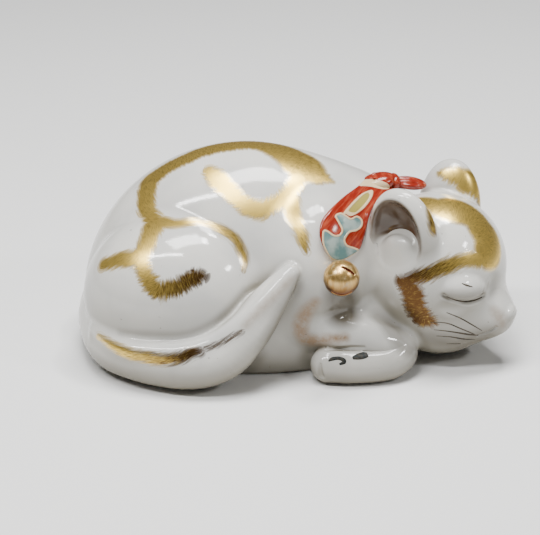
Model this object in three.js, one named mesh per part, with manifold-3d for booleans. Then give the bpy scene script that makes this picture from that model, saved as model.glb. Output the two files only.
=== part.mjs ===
// A hollow glazed ceramic figurine of a curled, sleeping cat with a gilt coat, a tied neckerchief
// and a bell. Millimetres, +Z up, the head towards +X, the face and the tail towards -Y.
// The pieces are the ones a potter presses and carves separately before luting them together:
// a hollow body closed underneath by a slab, a hollow head, ears, limbs, tail and the modelled
// neckerchief. A thin gap between neighbours stands for each luted joint.
import * as THREE from 'three';
import { mergeVertices } from 'three/addons/utils/BufferGeometryUtils.js';
import Module from 'manifold-3d';

const wasm = await Module();
wasm.setup();

// Driving dimensions
const GAP = 0.3;                // luted joint between neighbouring pieces
const WALL = 4.2;               // pressed clay wall of the body and the head
const SLAB = 3;                 // thickness of the slab that closes the underside
const VENT_RADIUS = 3.5;        // firing vent through the slab
const NECK_BORE_RADIUS = 8;     // passage from the head into the body
const CLOTH = 2.2;              // thickness of the modelled neckerchief
const CLOTH_WIDTH = 14;         // its width along the neck
const BIB_END = 38;             // height of its free end beside the bell
const CLOTH_END = 20;           // height where its far end disappears behind the head
const BELL_RADIUS = 5.5;
const BELL_SLIT = [0.9, 8, 1.6];   // width, length and depth of the slit in the bell
const BELL_SLIT_LEAN = -35;     // degrees
const BELL_STEM_RADIUS = 2;
const HEAD_YAW = -30;           // degrees, the face turned towards -Y
const EAR_YAW = 6;
const EAR_LEAN = 10;
const BODY_DETAIL = 7;          // subdivisions of the icosahedra that the shells are pressed from
const HEAD_DETAIL = 6;
const CAVITY_DETAIL = 4;
const LIMB_SIDES = 10;

// Places
const BODY_CENTRE = vec(-6, 4, 22);
const HEAD_CENTRE = vec(42.8, -7, 26);
const VENT_PLACE = vec(-16, 4, 0);
const NECK_RING = vec(28, 0, 30);
const NECK_AXIS = vec(0.903, -0.423, 0.079).normalize();
const KNOT_PLACE = vec(30.3, 3, 53.2);
const BELL_PLACE = vec(12.7, -34.5, 37.1);

// Each limb is a row of stations: a point on its centre line and the radius there.
const TAIL = [
  [-52, 22, 12, 9], [-61, 4, 10.5, 8.8], [-58.5, -18, 8.6, 8.8], [-49.5, -29, 8.5, 8.4], [-35, -35, 8.3, 8],
  [-24, -35.5, 11, 7.8], [-16, -34.5, 18.5, 7], [-9.3, -32, 27.5, 5.6], [-4.8, -29.9, 33.5, 3.9],
  [-2.8, -28.8, 36, 2.8],
];
const RIGHT_FOREARM = [[2, -18, 17, 8.5], [12, -23, 13, 7.5], [23, -24.5, 10.5, 6.8], [31, -24.5, 7.3, 6.3]];
const RIGHT_PAW = [[31, -24.5, 7.3, 6.3], [28, -28.5, 5.6, 5.7], [18, -30.5, 5.3, 5.6], [9.5, -30, 5.5, 5.8]];
const LEFT_FORELEG = [[34, 18, 7, 8], [46, 13, 6, 7], [56, 6, 5.5, 6]];

function vec(x, y, z) {
  return new THREE.Vector3(x, y, z);
}

// A turn about Z, then Y, then X, in degrees
function turned(yaw, pitch = 0, roll = 0) {
  const angles = [roll, pitch, yaw].map(THREE.MathUtils.degToRad);
  return new THREE.Quaternion().setFromEuler(new THREE.Euler(...angles, 'ZYX'));
}

// --- Shapes as fields: distance from the surface in millimetres, negative inside ---

function ellipsoidField(centre, radii, turn = turned(0)) {
  const back = turn.clone().invert();
  return (point) => {
    const scaled = point.clone().sub(centre).applyQuaternion(back).divide(radii);
    const slope = scaled.clone().divide(radii).length();
    return scaled.length() * (scaled.length() - 1) / Math.max(slope, 1e-9);
  };
}

function limbField(stations) {
  const rings = ringsAlong(stations, 4 * (stations.length - 1));
  const spans = rings.slice(1).map((ring, i) => new THREE.Line3(rings[i].centre, ring.centre));
  const closest = vec(0, 0, 0);
  return (point) => Math.min(...spans.map((span, i) => {
    const along = span.closestPointToPointParameter(point, true);
    span.at(along, closest);
    const radius = THREE.MathUtils.lerp(rings[i].radius, rings[i + 1].radius, along);
    return closest.distanceTo(point) - radius;
  }));
}

// Union of two fields with a fillet of about the given radius
function filleted(fieldA, fieldB, radius) {
  return (point) => {
    const a = fieldA(point);
    const b = fieldB(point);
    const share = THREE.MathUtils.clamp(0.5 + 0.5 * (b - a) / radius, 0, 1);
    return b * (1 - share) + a * share - radius * share * (1 - share);
  };
}

// --- Closed solids ---

function solid(geometry) {
  const plain = geometry.clone();
  plain.deleteAttribute('normal');
  plain.deleteAttribute('uv');
  const merged = mergeVertices(plain, 1e-4);
  const vertProperties = merged.attributes.position.array;
  const triVerts = new Uint32Array(merged.index.array);
  return new wasm.Manifold(new wasm.Mesh({ numProp: 3, vertProperties, triVerts }));
}

// The surface where a field equals a level, seen from a centre that sees all of it
function pressed(field, centre, level, detail) {
  const geometry = new THREE.IcosahedronGeometry(1, detail);
  const position = geometry.attributes.position;
  const direction = vec(0, 0, 0);
  const probe = vec(0, 0, 0);
  for (let i = 0; i < position.count; i += 1) {
    direction.fromBufferAttribute(position, i).normalize();
    let inside = 0;
    let outside = 120;
    while (outside - inside > 0.005) {
      const middle = (inside + outside) / 2;
      probe.copy(centre).addScaledVector(direction, middle);
      if (field(probe) < level) inside = middle;
      else outside = middle;
    }
    probe.copy(centre).addScaledVector(direction, inside);
    position.setXYZ(i, probe.x, probe.y, probe.z);
  }
  return solid(geometry);
}

function ellipsoid(centre, radii, turn = turned(0), detail = 5) {
  const geometry = new THREE.IcosahedronGeometry(1, detail);
  geometry.scale(radii.x, radii.y, radii.z);
  geometry.applyQuaternion(turn);
  geometry.translate(centre.x, centre.y, centre.z);
  return solid(geometry);
}

function block(centre, size, turn = turned(0)) {
  const geometry = new THREE.BoxGeometry(...size);
  geometry.applyQuaternion(turn);
  geometry.translate(centre.x, centre.y, centre.z);
  return solid(geometry);
}

function rod(from, to, radius, sides = 24) {
  const geometry = new THREE.CylinderGeometry(radius, radius, from.distanceTo(to), sides);
  const axis = to.clone().sub(from).normalize();
  geometry.applyQuaternion(new THREE.Quaternion().setFromUnitVectors(vec(0, 1, 0), axis));
  const middle = from.clone().add(to).multiplyScalar(0.5);
  geometry.translate(middle.x, middle.y, middle.z);
  return solid(geometry);
}

// Evenly spaced cross-sections along a limb, each with a centre, a radius and two axes
function ringsAlong(stations, count) {
  const points = stations.map(([x, y, z]) => vec(x, y, z));
  const curve = new THREE.CatmullRomCurve3(points, false, 'catmullrom', 0.5);
  const side = vec(0, 0, 1);
  return Array.from({ length: count + 1 }, (_, i) => {
    const centre = curve.getPoint(i / count);
    const along = curve.getTangent(i / count);
    side.addScaledVector(along, -side.dot(along)).normalize();
    const place = i / count * (stations.length - 1);
    const station = Math.min(Math.floor(place), stations.length - 2);
    const radius = THREE.MathUtils.lerp(stations[station][3], stations[station + 1][3], place - station);
    return { centre, along, radius, side: side.clone(), up: side.clone().cross(along) };
  });
}

// A capsule bent along the stations, grown all round by a margin
function limb(stations, margin = 0) {
  const count = 4 * (stations.length - 1);
  const rings = ringsAlong(stations, count);
  const geometry = new THREE.CapsuleGeometry(1, count, 3, LIMB_SIDES, count);
  const position = geometry.attributes.position;
  for (let i = 0; i < position.count; i += 1) {
    const height = position.getY(i) + count / 2;
    const onAxis = THREE.MathUtils.clamp(height, 0, count);
    const ring = rings[Math.round(onAxis)];
    const radius = ring.radius + margin;
    const point = ring.centre.clone()
      .addScaledVector(ring.along, (height - onAxis) * radius)
      .addScaledVector(ring.side, position.getX(i) * radius)
      .addScaledVector(ring.up, position.getZ(i) * radius);
    position.setXYZ(i, point.x, point.y, point.z);
  }
  return solid(geometry);
}

// Everything above a height
function above(height) {
  return block(vec(0, 0, height + 100), [400, 400, 200]);
}

function minus(shape, ...cutters) {
  return cutters.reduce((left, cutter) => left.subtract(cutter), shape);
}

// The largest of the bodies that a cut leaves
function largest(shape) {
  return shape.decompose().reduce((a, b) => (a.volume() > b.volume() ? a : b));
}

// --- Body: a hollow shell on a slab ---

const torso = ellipsoidField(vec(-16.5, 6, 12), vec(52.5, 34, 52));
const shoulder = ellipsoidField(vec(4, -11, 30), vec(17, 19, 21));
const neck = limbField([[0, 4, 35, 20], [16, 4, 35.8, 18.6], [30, -1, 31.5, 17]]);
const bodyField = filleted(filleted(torso, shoulder, 6), neck, 10);

function bodyAt(level, detail = BODY_DETAIL) {
  return pressed(bodyField, BODY_CENTRE, level, detail);
}

// --- Head ---

const headTurn = turned(HEAD_YAW);

// A point given forward, left and up from the middle of the head
function onHead(forward, left, up) {
  return vec(forward, left, up).applyQuaternion(headTurn).add(HEAD_CENTRE);
}

const skull = ellipsoidField(onHead(0.4, 0, 3.2), vec(22.6, 22.5, 22.8), headTurn);
const jaw = ellipsoidField(onHead(2, 0, -11.4), vec(18.5, 18, 14), headTurn);
const muzzle = ellipsoidField(onHead(19.8, 0, -9), vec(8.2, 8.2, 7.6), headTurn);
const headField = filleted(filleted(skull, jaw, 4), muzzle, 6);

function headAt(level, detail = HEAD_DETAIL) {
  return pressed(headField, HEAD_CENTRE, level, detail);
}

// side is -1 for the right ear and 1 for the left one
function earAt(side, margin = 0) {
  const turn = headTurn.clone().multiply(turned(side * EAR_YAW, 0, -side * EAR_LEAN));
  const size = side < 0 ? vec(12, 6.2, 17.5) : vec(10.2, 6.2, 15.8);
  const base = side < 0 ? onHead(-3, -15.5, 17) : onHead(-2.4, 15.5, 16.2);
  const cup = base.clone().add(vec(-0.6, side * 5.2, 2.5).applyQuaternion(turn));
  const outer = ellipsoid(base, size.clone().addScalar(margin), turn, 4);
  return margin > 0 ? outer : minus(outer, ellipsoid(cup, vec(8.8, 6.4, 13), turn, 4));
}

// --- Neckerchief, knot and bow ---

// A sheet over the body's outer skin between two planes across the neck, cut off beside the bell
function clothAt(margin) {
  const turn = new THREE.Quaternion().setFromUnitVectors(vec(1, 0, 0), NECK_AXIS);
  const slice = block(NECK_RING, [CLOTH_WIDTH + 2 * margin, 90, 90], turn);
  const underChin = block(vec(14, -30, BIB_END - margin - 50), [90, 40, 100]);
  const band = bodyAt(GAP + CLOTH + margin).intersect(slice).intersect(above(CLOTH_END - margin));
  return minus(band, underChin);
}

function knotAt(margin = 0) {
  return ellipsoid(KNOT_PLACE, vec(2.8 + margin, 4.2 + margin, 3.6 + margin), turned(14), 3);
}

// direction is -1 for the near loop and 1 for the far one
function bowLoop(direction, margin = 0) {
  const drop = direction < 0 ? 1.2 : -2;
  const centre = KNOT_PLACE.clone().add(vec(direction * 6.6, direction * 1.2, drop));
  const turn = turned(8, direction * 14);
  return ellipsoid(centre, vec(6.2 + margin, 4.8 + margin, 3.6 + margin), turn, 2);
}

function bellAt(margin = 0) {
  return ellipsoid(BELL_PLACE, vec(1, 1, 1).multiplyScalar(BELL_RADIUS + margin), turned(0), 4);
}

// --- The pieces ---

const bodyGrown = bodyAt(GAP);
const headGrown = headAt(GAP);
const ground = above(0);
const haunchCentre = vec(-36.5, -12.5, 21.5);
const haunchRadii = vec(30.8, 24.5, 27);
const haunchGrown = ellipsoid(haunchCentre, haunchRadii.clone().addScalar(GAP), turned(0), 6);
const tailGrown = limb(TAIL, GAP);
const rightForeleg = limb(RIGHT_FOREARM).add(limb(RIGHT_PAW));
const rightForelegGrown = limb(RIGHT_FOREARM, GAP).add(limb(RIGHT_PAW, GAP));
const earsGrown = earAt(-1, GAP).add(earAt(1, GAP));
const clothGrown = clothAt(GAP);
const knotGrown = knotAt(GAP);
const loopsGrown = bowLoop(-1, GAP).add(bowLoop(1, GAP));
const bell = bellAt();
const bellGrown = bellAt(GAP);

function bodyShell() {
  const hollow = bodyAt(-WALL, CAVITY_DETAIL);
  return minus(bodyAt(0).intersect(above(SLAB + GAP)), hollow, headGrown);
}

function baseSlab() {
  const vent = rod(VENT_PLACE.clone().setZ(-1), VENT_PLACE.clone().setZ(SLAB + 1), VENT_RADIUS);
  return minus(bodyAt(0).intersect(ground), above(SLAB), vent, headGrown);
}

function headShell() {
  const hollow = headAt(-WALL, CAVITY_DETAIL);
  const boreStart = HEAD_CENTRE.clone().add(vec(0, 0, 4));
  const bore = rod(boreStart, boreStart.clone().add(vec(-40, 0, 0)), NECK_BORE_RADIUS);
  return minus(headAt(0).intersect(ground), hollow, bore);
}

function hindLeg() {
  return minus(ellipsoid(haunchCentre, haunchRadii, turned(0), 6).intersect(ground), bodyGrown);
}

function tail() {
  return minus(limb(TAIL).intersect(ground), bodyGrown, haunchGrown);
}

function foreleg(shape, ...neighbours) {
  return minus(shape.intersect(ground), bodyGrown, headGrown, ...neighbours);
}

function bellWithSlit() {
  const front = BELL_PLACE.clone().add(vec(0, -BELL_RADIUS, 0));
  const [width, length, depth] = BELL_SLIT;
  return minus(bell, block(front, [width, 2 * depth, length], turned(0, BELL_SLIT_LEAN)));
}

function bellStem() {
  const root = BELL_PLACE.clone().add(vec(0.5, 12, -4));
  return minus(rod(BELL_PLACE, root, BELL_STEM_RADIUS, 16), bodyGrown, bellGrown, clothGrown, headGrown);
}

const GLAZE = { color: 0xe6e3dc, roughness: 0.18, metalness: 0 };
const BISCUIT = { color: 0xd9d2c3, roughness: 0.85, metalness: 0 };
const RED_ENAMEL = { color: 0xa8341f, roughness: 0.3, metalness: 0 };
const GILT = { color: 0xc7a35a, roughness: 0.3, metalness: 0.9 };

const group = new THREE.Group();

function addPiece(name, shape, look) {
  const { vertProperties, triVerts } = largest(shape).getMesh();
  const geometry = new THREE.BufferGeometry();
  geometry.setAttribute('position', new THREE.BufferAttribute(vertProperties, 3));
  geometry.setIndex(new THREE.BufferAttribute(triVerts, 1));
  geometry.computeVertexNormals();
  const mesh = new THREE.Mesh(geometry, new THREE.MeshStandardMaterial(look));
  mesh.name = name;
  group.add(mesh);
}

addPiece('body_shell', bodyShell(), GLAZE);
addPiece('base_slab', baseSlab(), BISCUIT);
addPiece('head_shell', headShell(), GLAZE);
addPiece('right_ear', minus(earAt(-1), headGrown, clothGrown, bodyGrown), GLAZE);
addPiece('left_ear', minus(earAt(1), headGrown, clothGrown, bodyGrown), GLAZE);
addPiece('right_hind_leg', hindLeg(), GLAZE);
addPiece('tail', tail(), GLAZE);
addPiece('right_foreleg', foreleg(rightForeleg, tailGrown), GLAZE);
addPiece('left_foreleg', foreleg(limb(LEFT_FORELEG), rightForelegGrown), GLAZE);
const nape = [bodyGrown, headGrown, earsGrown];
addPiece('neckerchief', minus(clothAt(0), ...nape, tailGrown, bellGrown), RED_ENAMEL);
addPiece('bow_knot', minus(knotAt(), clothGrown, ...nape), RED_ENAMEL);
addPiece('bow_loop_near', minus(bowLoop(-1), knotGrown, clothGrown, ...nape), RED_ENAMEL);
addPiece('bow_loop_far', minus(bowLoop(1), knotGrown, clothGrown, ...nape), RED_ENAMEL);
addPiece('bell', bellWithSlit(), GILT);
addPiece('bell_stem', bellStem(), GLAZE);

// The origin is the middle of the footprint, on the surface that the figurine rests on
const box = new THREE.Box3().setFromObject(group);
group.position.set(-(box.min.x + box.max.x) / 2, -(box.min.y + box.max.y) / 2, -box.min.z);
group.updateMatrixWorld(true);

export default group;
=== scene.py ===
"""The looks of a gilt porcelain figurine: a curled, sleeping cat with a tied neckerchief and a bell.

The clay is modelled as distance fields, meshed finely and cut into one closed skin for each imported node.
Modelling lengths are millimetres in the potter's frame, the one that part.mjs models in: +X towards the
head, +Z up, the face towards -Y; to_frame() moves points to the row frame, in metres. Paint and small
marks are laid out on a painter's plane, in millimetres right of and above the figure's middle, and thrown
onto the clay along the painter's lines of sight.
"""
import math

import bpy
import numpy as np
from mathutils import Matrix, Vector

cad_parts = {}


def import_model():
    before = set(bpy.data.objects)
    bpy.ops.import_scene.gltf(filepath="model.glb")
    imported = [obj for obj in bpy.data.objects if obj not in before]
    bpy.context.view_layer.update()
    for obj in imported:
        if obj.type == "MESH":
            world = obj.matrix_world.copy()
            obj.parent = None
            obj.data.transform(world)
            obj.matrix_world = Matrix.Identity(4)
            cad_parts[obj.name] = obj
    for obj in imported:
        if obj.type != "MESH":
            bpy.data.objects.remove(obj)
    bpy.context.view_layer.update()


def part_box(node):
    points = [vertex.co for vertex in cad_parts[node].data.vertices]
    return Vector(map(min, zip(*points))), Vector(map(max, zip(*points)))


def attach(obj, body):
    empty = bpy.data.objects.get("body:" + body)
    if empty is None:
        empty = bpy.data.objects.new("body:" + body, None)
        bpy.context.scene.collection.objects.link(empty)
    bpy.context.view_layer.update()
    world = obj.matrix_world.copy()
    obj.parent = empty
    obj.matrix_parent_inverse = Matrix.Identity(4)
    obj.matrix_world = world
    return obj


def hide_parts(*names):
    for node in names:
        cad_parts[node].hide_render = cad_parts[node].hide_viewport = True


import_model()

import openvdb
from mathutils import Matrix, Vector
from numpy.linalg import norm

MM = 0.001
BELL_PLACE = np.array([12.7, -34.5, 37.1])
BELL_RADIUS = 5.5
low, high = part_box("bell")
SHIFT = np.array((low + high) / 2) - BELL_PLACE * MM

COARSE = 1.0
SKIN_STEP = 0.64 * COARSE  # spacing of the body's vertices
FACE_STEP = 0.39 * COARSE  # of the head, the ears and the right paw
FINE_STEP = 0.25 * COARSE  # of the neckerchief, the bow and the bell
MIDDLE = np.array([-8.8, 0.0, 24.5])
VIEW_DISTANCE = 600.0
VIEW_WIDTH = 172.8  # width of the camera's view at the middle


def to_frame(points):
    """From potter's millimetres to the row frame's metres."""
    return np.asarray(points) * MM + SHIFT


# -------- fields

def turned(yaw=0.0, pitch=0.0, roll=0.0):
    """Rotation matrix: about X, then Y, then Z, in degrees."""
    y, p, r = np.radians([yaw, pitch, roll])
    about_z = np.array([[np.cos(y), -np.sin(y), 0], [np.sin(y), np.cos(y), 0], [0, 0, 1]])
    about_y = np.array([[np.cos(p), 0, np.sin(p)], [0, 1, 0], [-np.sin(p), 0, np.cos(p)]])
    about_x = np.array([[1, 0, 0], [0, np.cos(r), -np.sin(r)], [0, np.sin(r), np.cos(r)]])
    return about_z @ about_y @ about_x


def heading(azimuth, elevation):
    """A direction from the figure, azimuth to the right of the front."""
    a, e = math.radians(azimuth), math.radians(elevation)
    return np.array([math.sin(a) * math.cos(e), -math.cos(a) * math.cos(e), math.sin(e)])


def ellipsoid(points, centre, radii, turn=None):
    local = points - np.asarray(centre)
    if turn is not None:
        local = local @ turn
    radii = np.asarray(radii, float)
    reach = norm(local / radii, axis=1)
    slope = norm(local / radii ** 2, axis=1)
    return reach * (reach - 1) / np.maximum(slope, 1e-9)


def spline(stations, steps, closed=False):
    """Catmull-Rom curve through rows of numbers."""
    rows = np.array(stations, float)
    if closed:
        rows = np.vstack([rows[-1], rows, rows[:2]])
    else:
        rows = np.vstack([2 * rows[0] - rows[1], rows, 2 * rows[-1] - rows[-2]])
    t = np.linspace(0, 1, steps, endpoint=False)[:, None]
    spans = []
    for a, b, c, d in zip(rows[:-3], rows[1:-2], rows[2:-1], rows[3:]):
        spans.append(0.5 * (2 * b + (c - a) * t + (2 * a - 5 * b + 4 * c - d) * t ** 2
                            + (3 * b - a - 3 * c + d) * t ** 3))
    return np.vstack(spans) if closed else np.vstack(spans + [rows[-2:-1]])


def limb(points, stations, steps=4, reach=12.0):
    """Distance from a round limb of stations (x, y, z, radius); a safe guess beyond reach."""
    rings = spline(stations, steps) if steps > 1 else np.asarray(stations)
    lowest = (rings[:, :3] - rings[:, 3:]).min(0)
    highest = (rings[:, :3] + rings[:, 3:]).max(0)
    gap = np.maximum(np.maximum(lowest - points, points - highest), 0)
    distance = norm(gap, axis=1) + 1
    near = distance < reach
    inner = points[near]
    best = np.full(len(inner), 1e9)
    for a, b in zip(rings[:-1], rings[1:]):
        length = max(norm(b[:3] - a[:3]), 1e-6)
        axis = (b[:3] - a[:3]) / length
        slope = np.clip((b[3] - a[3]) / length, -0.95, 0.95)
        offset = inner - a[:3]
        along = offset @ axis
        aside = np.sqrt(np.maximum((offset * offset).sum(1) - along ** 2, 0))
        nearest = np.clip(along + aside * slope / math.sqrt(1 - slope ** 2), 0, length)
        radius = a[3] + nearest / length * (b[3] - a[3])
        best = np.minimum(best, np.hypot(aside, along - nearest) - radius)
    distance[near] = best
    return distance


def join(a, b, fillet):
    """Union of two fields with a soft fillet."""
    share = np.clip(0.5 + 0.5 * (b - a) / fillet, 0, 1)
    return b * (1 - share) + a * share - fillet * share * (1 - share)


def meet(a, b, fillet):
    """Intersection of two fields with a rounded edge."""
    return -join(-a, -b, fillet)


def carve(field, groove, fillet):
    return meet(field, -groove, fillet)


def outline(places, corners, steps=4):
    """Distance of flat places from a smooth closed outline, negative inside."""
    path = spline(corners, steps, closed=True)
    best = np.full(len(places), 1e9)
    crossings = np.zeros(len(places), bool)
    for a, b in zip(path, np.roll(path, -1, axis=0)):
        edge = b - a
        offset = places - a
        along = np.clip(offset @ edge / max(edge @ edge, 1e-9), 0, 1)
        best = np.minimum(best, norm(offset - along[:, None] * edge, axis=1))
        straddles = (a[1] > places[:, 1]) != (b[1] > places[:, 1])
        rise = b[1] - a[1] if abs(b[1] - a[1]) > 1e-9 else 1e-9
        crossings ^= straddles & (places[:, 0] < a[0] + (places[:, 1] - a[1]) / rise * edge[0])
    return np.where(crossings, -best, best)


def gradient(field, points, step=0.05):
    slopes = []
    for axis in np.eye(3) * step:
        slopes.append((field(points + axis) - field(points - axis)) / (2 * step))
    return np.stack(slopes, axis=1)


def normals_of(field, points):
    slope = gradient(field, points)
    return slope / np.maximum(norm(slope, axis=1, keepdims=True), 1e-9)


MARCH_STEPS = 70  # steps along each line of sight
MARCH_SHARE = 0.8  # share of the field's distance that a step takes
CLEAR_RADIUS = 90.0  # nothing is farther than this from the middle


class Painter:
    """Someone looking at the figure's middle, who lays out marks on the plane that faces them."""

    def __init__(self, azimuth, elevation):
        swing, rise = turned(yaw=azimuth), math.radians(elevation)
        self.back = swing @ np.array([0.0, -math.cos(rise), math.sin(rise)])
        self.right = swing @ np.array([1.0, 0.0, 0.0])
        self.up = np.cross(self.back, self.right)
        self.eye = MIDDLE + self.back * VIEW_DISTANCE

    def onto(self, field, rows):
        """Where the lines of sight through plane places (x, height) meet a field's surface."""
        rows = np.array([row[:2] for row in rows], float)
        rays = MIDDLE + rows[:, :1] * self.right + rows[:, 1:] * self.up - self.eye
        rays /= norm(rays, axis=1, keepdims=True)
        travel = np.full(len(rays), VIEW_DISTANCE - CLEAR_RADIUS)
        for _ in range(MARCH_STEPS):
            travel += MARCH_SHARE * field(self.eye + rays * travel[:, None])
        return self.eye + rays * travel[:, None]

    def on_plane(self, points):
        """Plane places (x, height) at which points are seen."""
        rays = points - self.eye
        scale = VIEW_DISTANCE / -(rays @ self.back)
        offset = rays * scale[:, None] + self.eye - MIDDLE
        return np.stack([offset @ self.right, offset @ self.up], axis=1)


FRONT = Painter(0, 25)
REAR = Painter(180, 35)


# -------- the clay

HEAD_CENTRE = np.array([42.8, -7.0, 26.0])
HEAD_TURN = turned(yaw=-30)
# Limbs: stations (x, y, z, radius)
TAIL = [(-50, 18, 12, 7), (-61, 4, 10.5, 8.8), (-58.5, -18, 8.6, 8.8), (-49.5, -29, 8.5, 8.4),
        (-35, -35, 8.3, 8), (-24, -35.5, 11, 7.8), (-16, -34.5, 18.5, 7), (-9.3, -32, 27.5, 5.6),
        (-4.8, -29.9, 33.5, 3.9), (-2.8, -28.8, 36, 2.8)]
RIGHT_FORELEG = [(2, -18, 17, 8.5), (12, -23, 13, 7.5), (23, -24.5, 10.5, 6.8), (31, -24, 7.5, 6.3),
                 (28, -28.5, 5.4, 5.6), (18, -30.5, 5.2, 5.6), (9.5, -30, 5.4, 5.8)]
LEFT_FORELEG = [(34, 18, 7, 8), (46, 13, 6, 7), (56, 6, 5.5, 6)]
NECK_RING = np.array([28.0, 0.0, 30.0])
NECK_AXIS = np.array([0.903, -0.423, 0.079])


def on_head(forward, left, up):
    """A place given from the middle of the head."""
    return HEAD_CENTRE + HEAD_TURN @ np.array([forward, left, up], float)


def torso(points):
    trunk = ellipsoid(points, (-16.5, 6, 12), (52.5, 34, 52))
    shoulder = ellipsoid(points, (4, -11, 30), (17, 19, 21))
    neck = limb(points, [(0, 4, 35, 20), (16, 4, 35.8, 18.6), (30, -1, 31.5, 17)], 3)
    chest = ellipsoid(points, (24, -14.5, 13), (10, 8, 8))
    return join(join(join(trunk, shoulder, 6), neck, 10), chest, 5)


def haunch(points):
    return ellipsoid(points, (-36.5, -12.5, 21.5), (30.8, 24.5, 27))


def head(points):
    skull = ellipsoid(points, on_head(0.4, 0, 3.2), (22.6, 22.5, 22.8), HEAD_TURN)
    jaw = ellipsoid(points, on_head(2, 0, -11.4), (18.5, 18, 14), HEAD_TURN)
    muzzle = ellipsoid(points, on_head(19.8, 0, -9), (8.2, 8.2, 7.6), HEAD_TURN)
    nose = ellipsoid(points, on_head(27.0, 0, -7.4), (1.5, 2.8, 2.0), HEAD_TURN)
    return join(join(join(skull, jaw, 4), muzzle, 6), nose, 1.4)


def ear_place(side):
    """An ear's base, size and turn; side is -1 for the right ear and 1 for the left one."""
    turn = HEAD_TURN @ turned(roll=-side * 10, yaw=side * 6)
    base = on_head(-3, -15.5, 17) if side < 0 else on_head(-2.4, 15.5, 16.2)
    size = np.array([12, 6.2, 17.5] if side < 0 else [10.2, 6.2, 15.8])
    return base, size, turn


def ear_cup(points, side):
    base, _, turn = ear_place(side)
    return ellipsoid(points, base + turn @ np.array([-0.6, side * 5.2, 2.5]), (8.8, 6.4, 13), turn)


def ear(points, side):
    base, size, turn = ear_place(side)
    field = carve(ellipsoid(points, base, size, turn), ear_cup(points, side), 1.4)
    lobe = ellipsoid(points, base + turn @ np.array([-0.3, side * 2.2, -5.0]), (6.6, 3.4, 7.0), turn)
    return join(field, lobe, 1.6)


CLAY = {
    "body_shell": torso,
    "right_hind_leg": haunch,
    "tail": lambda points: limb(points, TAIL, 6),
    "right_foreleg": lambda points: limb(points, RIGHT_FORELEG),
    "left_foreleg": lambda points: limb(points, LEFT_FORELEG),
    "head_shell": head,
    "right_ear": lambda points: ear(points, -1),
    "left_ear": lambda points: ear(points, 1),
}
# The fillets of the joints where the limbs are luted on
LUTING = {"right_hind_leg": 2.4, "tail": 1.8, "right_foreleg": 3.0, "left_foreleg": 2.0}


def plain_clay(points):
    """All the clay luted together and flattened underneath, before the small marks."""
    body = torso(points)
    for name, fillet in LUTING.items():
        body = join(body, CLAY[name](points), fillet)
    skull = head(points)
    for name in ("right_ear", "left_ear"):
        skull = join(skull, CLAY[name](points), 2.0)
    return meet(join(body, skull, 3), -points[:, 2], 1.2)


# Ridges and grooves: stations (x, height, radius) on the front painter's plane, how far their middle
# lies below the surface, and the fillet beside them
RIDGES = [
    dict(path=[(-56, -20, 2.2), (-48, -24.8, 2.4), (-38.4, -26.4, 2.4), (-28.8, -26.1, 2.4),
        (-19.2, -23.2, 2.2), (-9.6, -17.4, 2), (-1.6, -10.4, 1.8), (3.2, -4.6, 1.5), (7, -1.4, 1.2)],
        sunk=1, fillet=3),  # along the tail
]
GROOVES = [
    dict(path=[(55.6, -9, 0.4), (59.3, -10.5, 0.8), (62.6, -11, 0.9), (65.6, -10.5, 0.8),
        (68.6, -9, 0.4)], sunk=0.1, fillet=1.2),  # under the eyelid
    # the mouth
    dict(path=[(66.5, -21.9, 0.3), (69.5, -20.8, 0.4), (72.3, -19.2, 0.4)], sunk=0.1, fillet=0.6),
    # between two toes
    dict(path=[(16, -31.2, 0.3), (15.9, -33, 0.7), (16.3, -34.8, 0.8)], sunk=0, fillet=1),
    dict(path=[(18, -26.4, 0.2), (22, -26, 0.4), (26, -25.7, 0.4), (30, -25.6, 0.2)],
        sunk=-0.1, fillet=0.9),  # between the forearm and the paw
]
# Bumps and dips: place (x, height), radii (out, across, up), how far the middle is sunk, and the fillet
BUMPS = [
    dict(place=(62.4, -7.2), radii=(3.2, 6.4, 4.1), sunk=1.1, fillet=1.6),  # the closed eyelid
    dict(place=(17.6, 16.5), radii=(6, 8, 9), sunk=4.4, fillet=5),  # the shoulder blade
]
DIPS = [
    dict(place=(71.5, -6), radii=(3, 3.2, 4), sunk=-2.3, fillet=2.5),  # from eye to nose
    dict(place=(58.5, -13), radii=(3, 5, 2.6), sunk=-2.6, fillet=2.5),  # under the eye
]


def seated(mark):
    """A ridge's or groove's stations in space."""
    middle = FRONT.onto(plain_clay, mark["path"])
    middle -= mark["sunk"] * normals_of(plain_clay, middle)
    return spline(np.column_stack([middle, [row[2] for row in mark["path"]]]), 4)


def seated_ellipsoid(mark):
    """A bump's or dip's centre, radii and turn in space."""
    place = FRONT.onto(plain_clay, [mark["place"]])
    out = normals_of(plain_clay, place)[0]
    across = np.cross(FRONT.up, out)
    across /= norm(across)
    turn = np.stack([out, across, np.cross(out, across)], axis=1)
    return place[0] - mark["sunk"] * out, mark["radii"], turn


for marks, seat in ((RIDGES + GROOVES, seated), (BUMPS + DIPS, seated_ellipsoid)):
    for mark in marks:
        mark["seat"] = seat(mark)


def whole(points):
    """The finished clay."""
    field = plain_clay(points)
    for mark in BUMPS:
        field = join(field, ellipsoid(points, *mark["seat"]), mark["fillet"])
    for mark in DIPS:
        field = carve(field, ellipsoid(points, *mark["seat"]), mark["fillet"])
    for mark in RIDGES:
        field = join(field, limb(points, mark["seat"], 1, 8.0), mark["fillet"])
    for mark in GROOVES:
        field = carve(field, limb(points, mark["seat"], 1, 5.0), mark["fillet"])
    return field


# -------- meshing

BAND = 3  # steps of distance kept on each side of a surface


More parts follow.
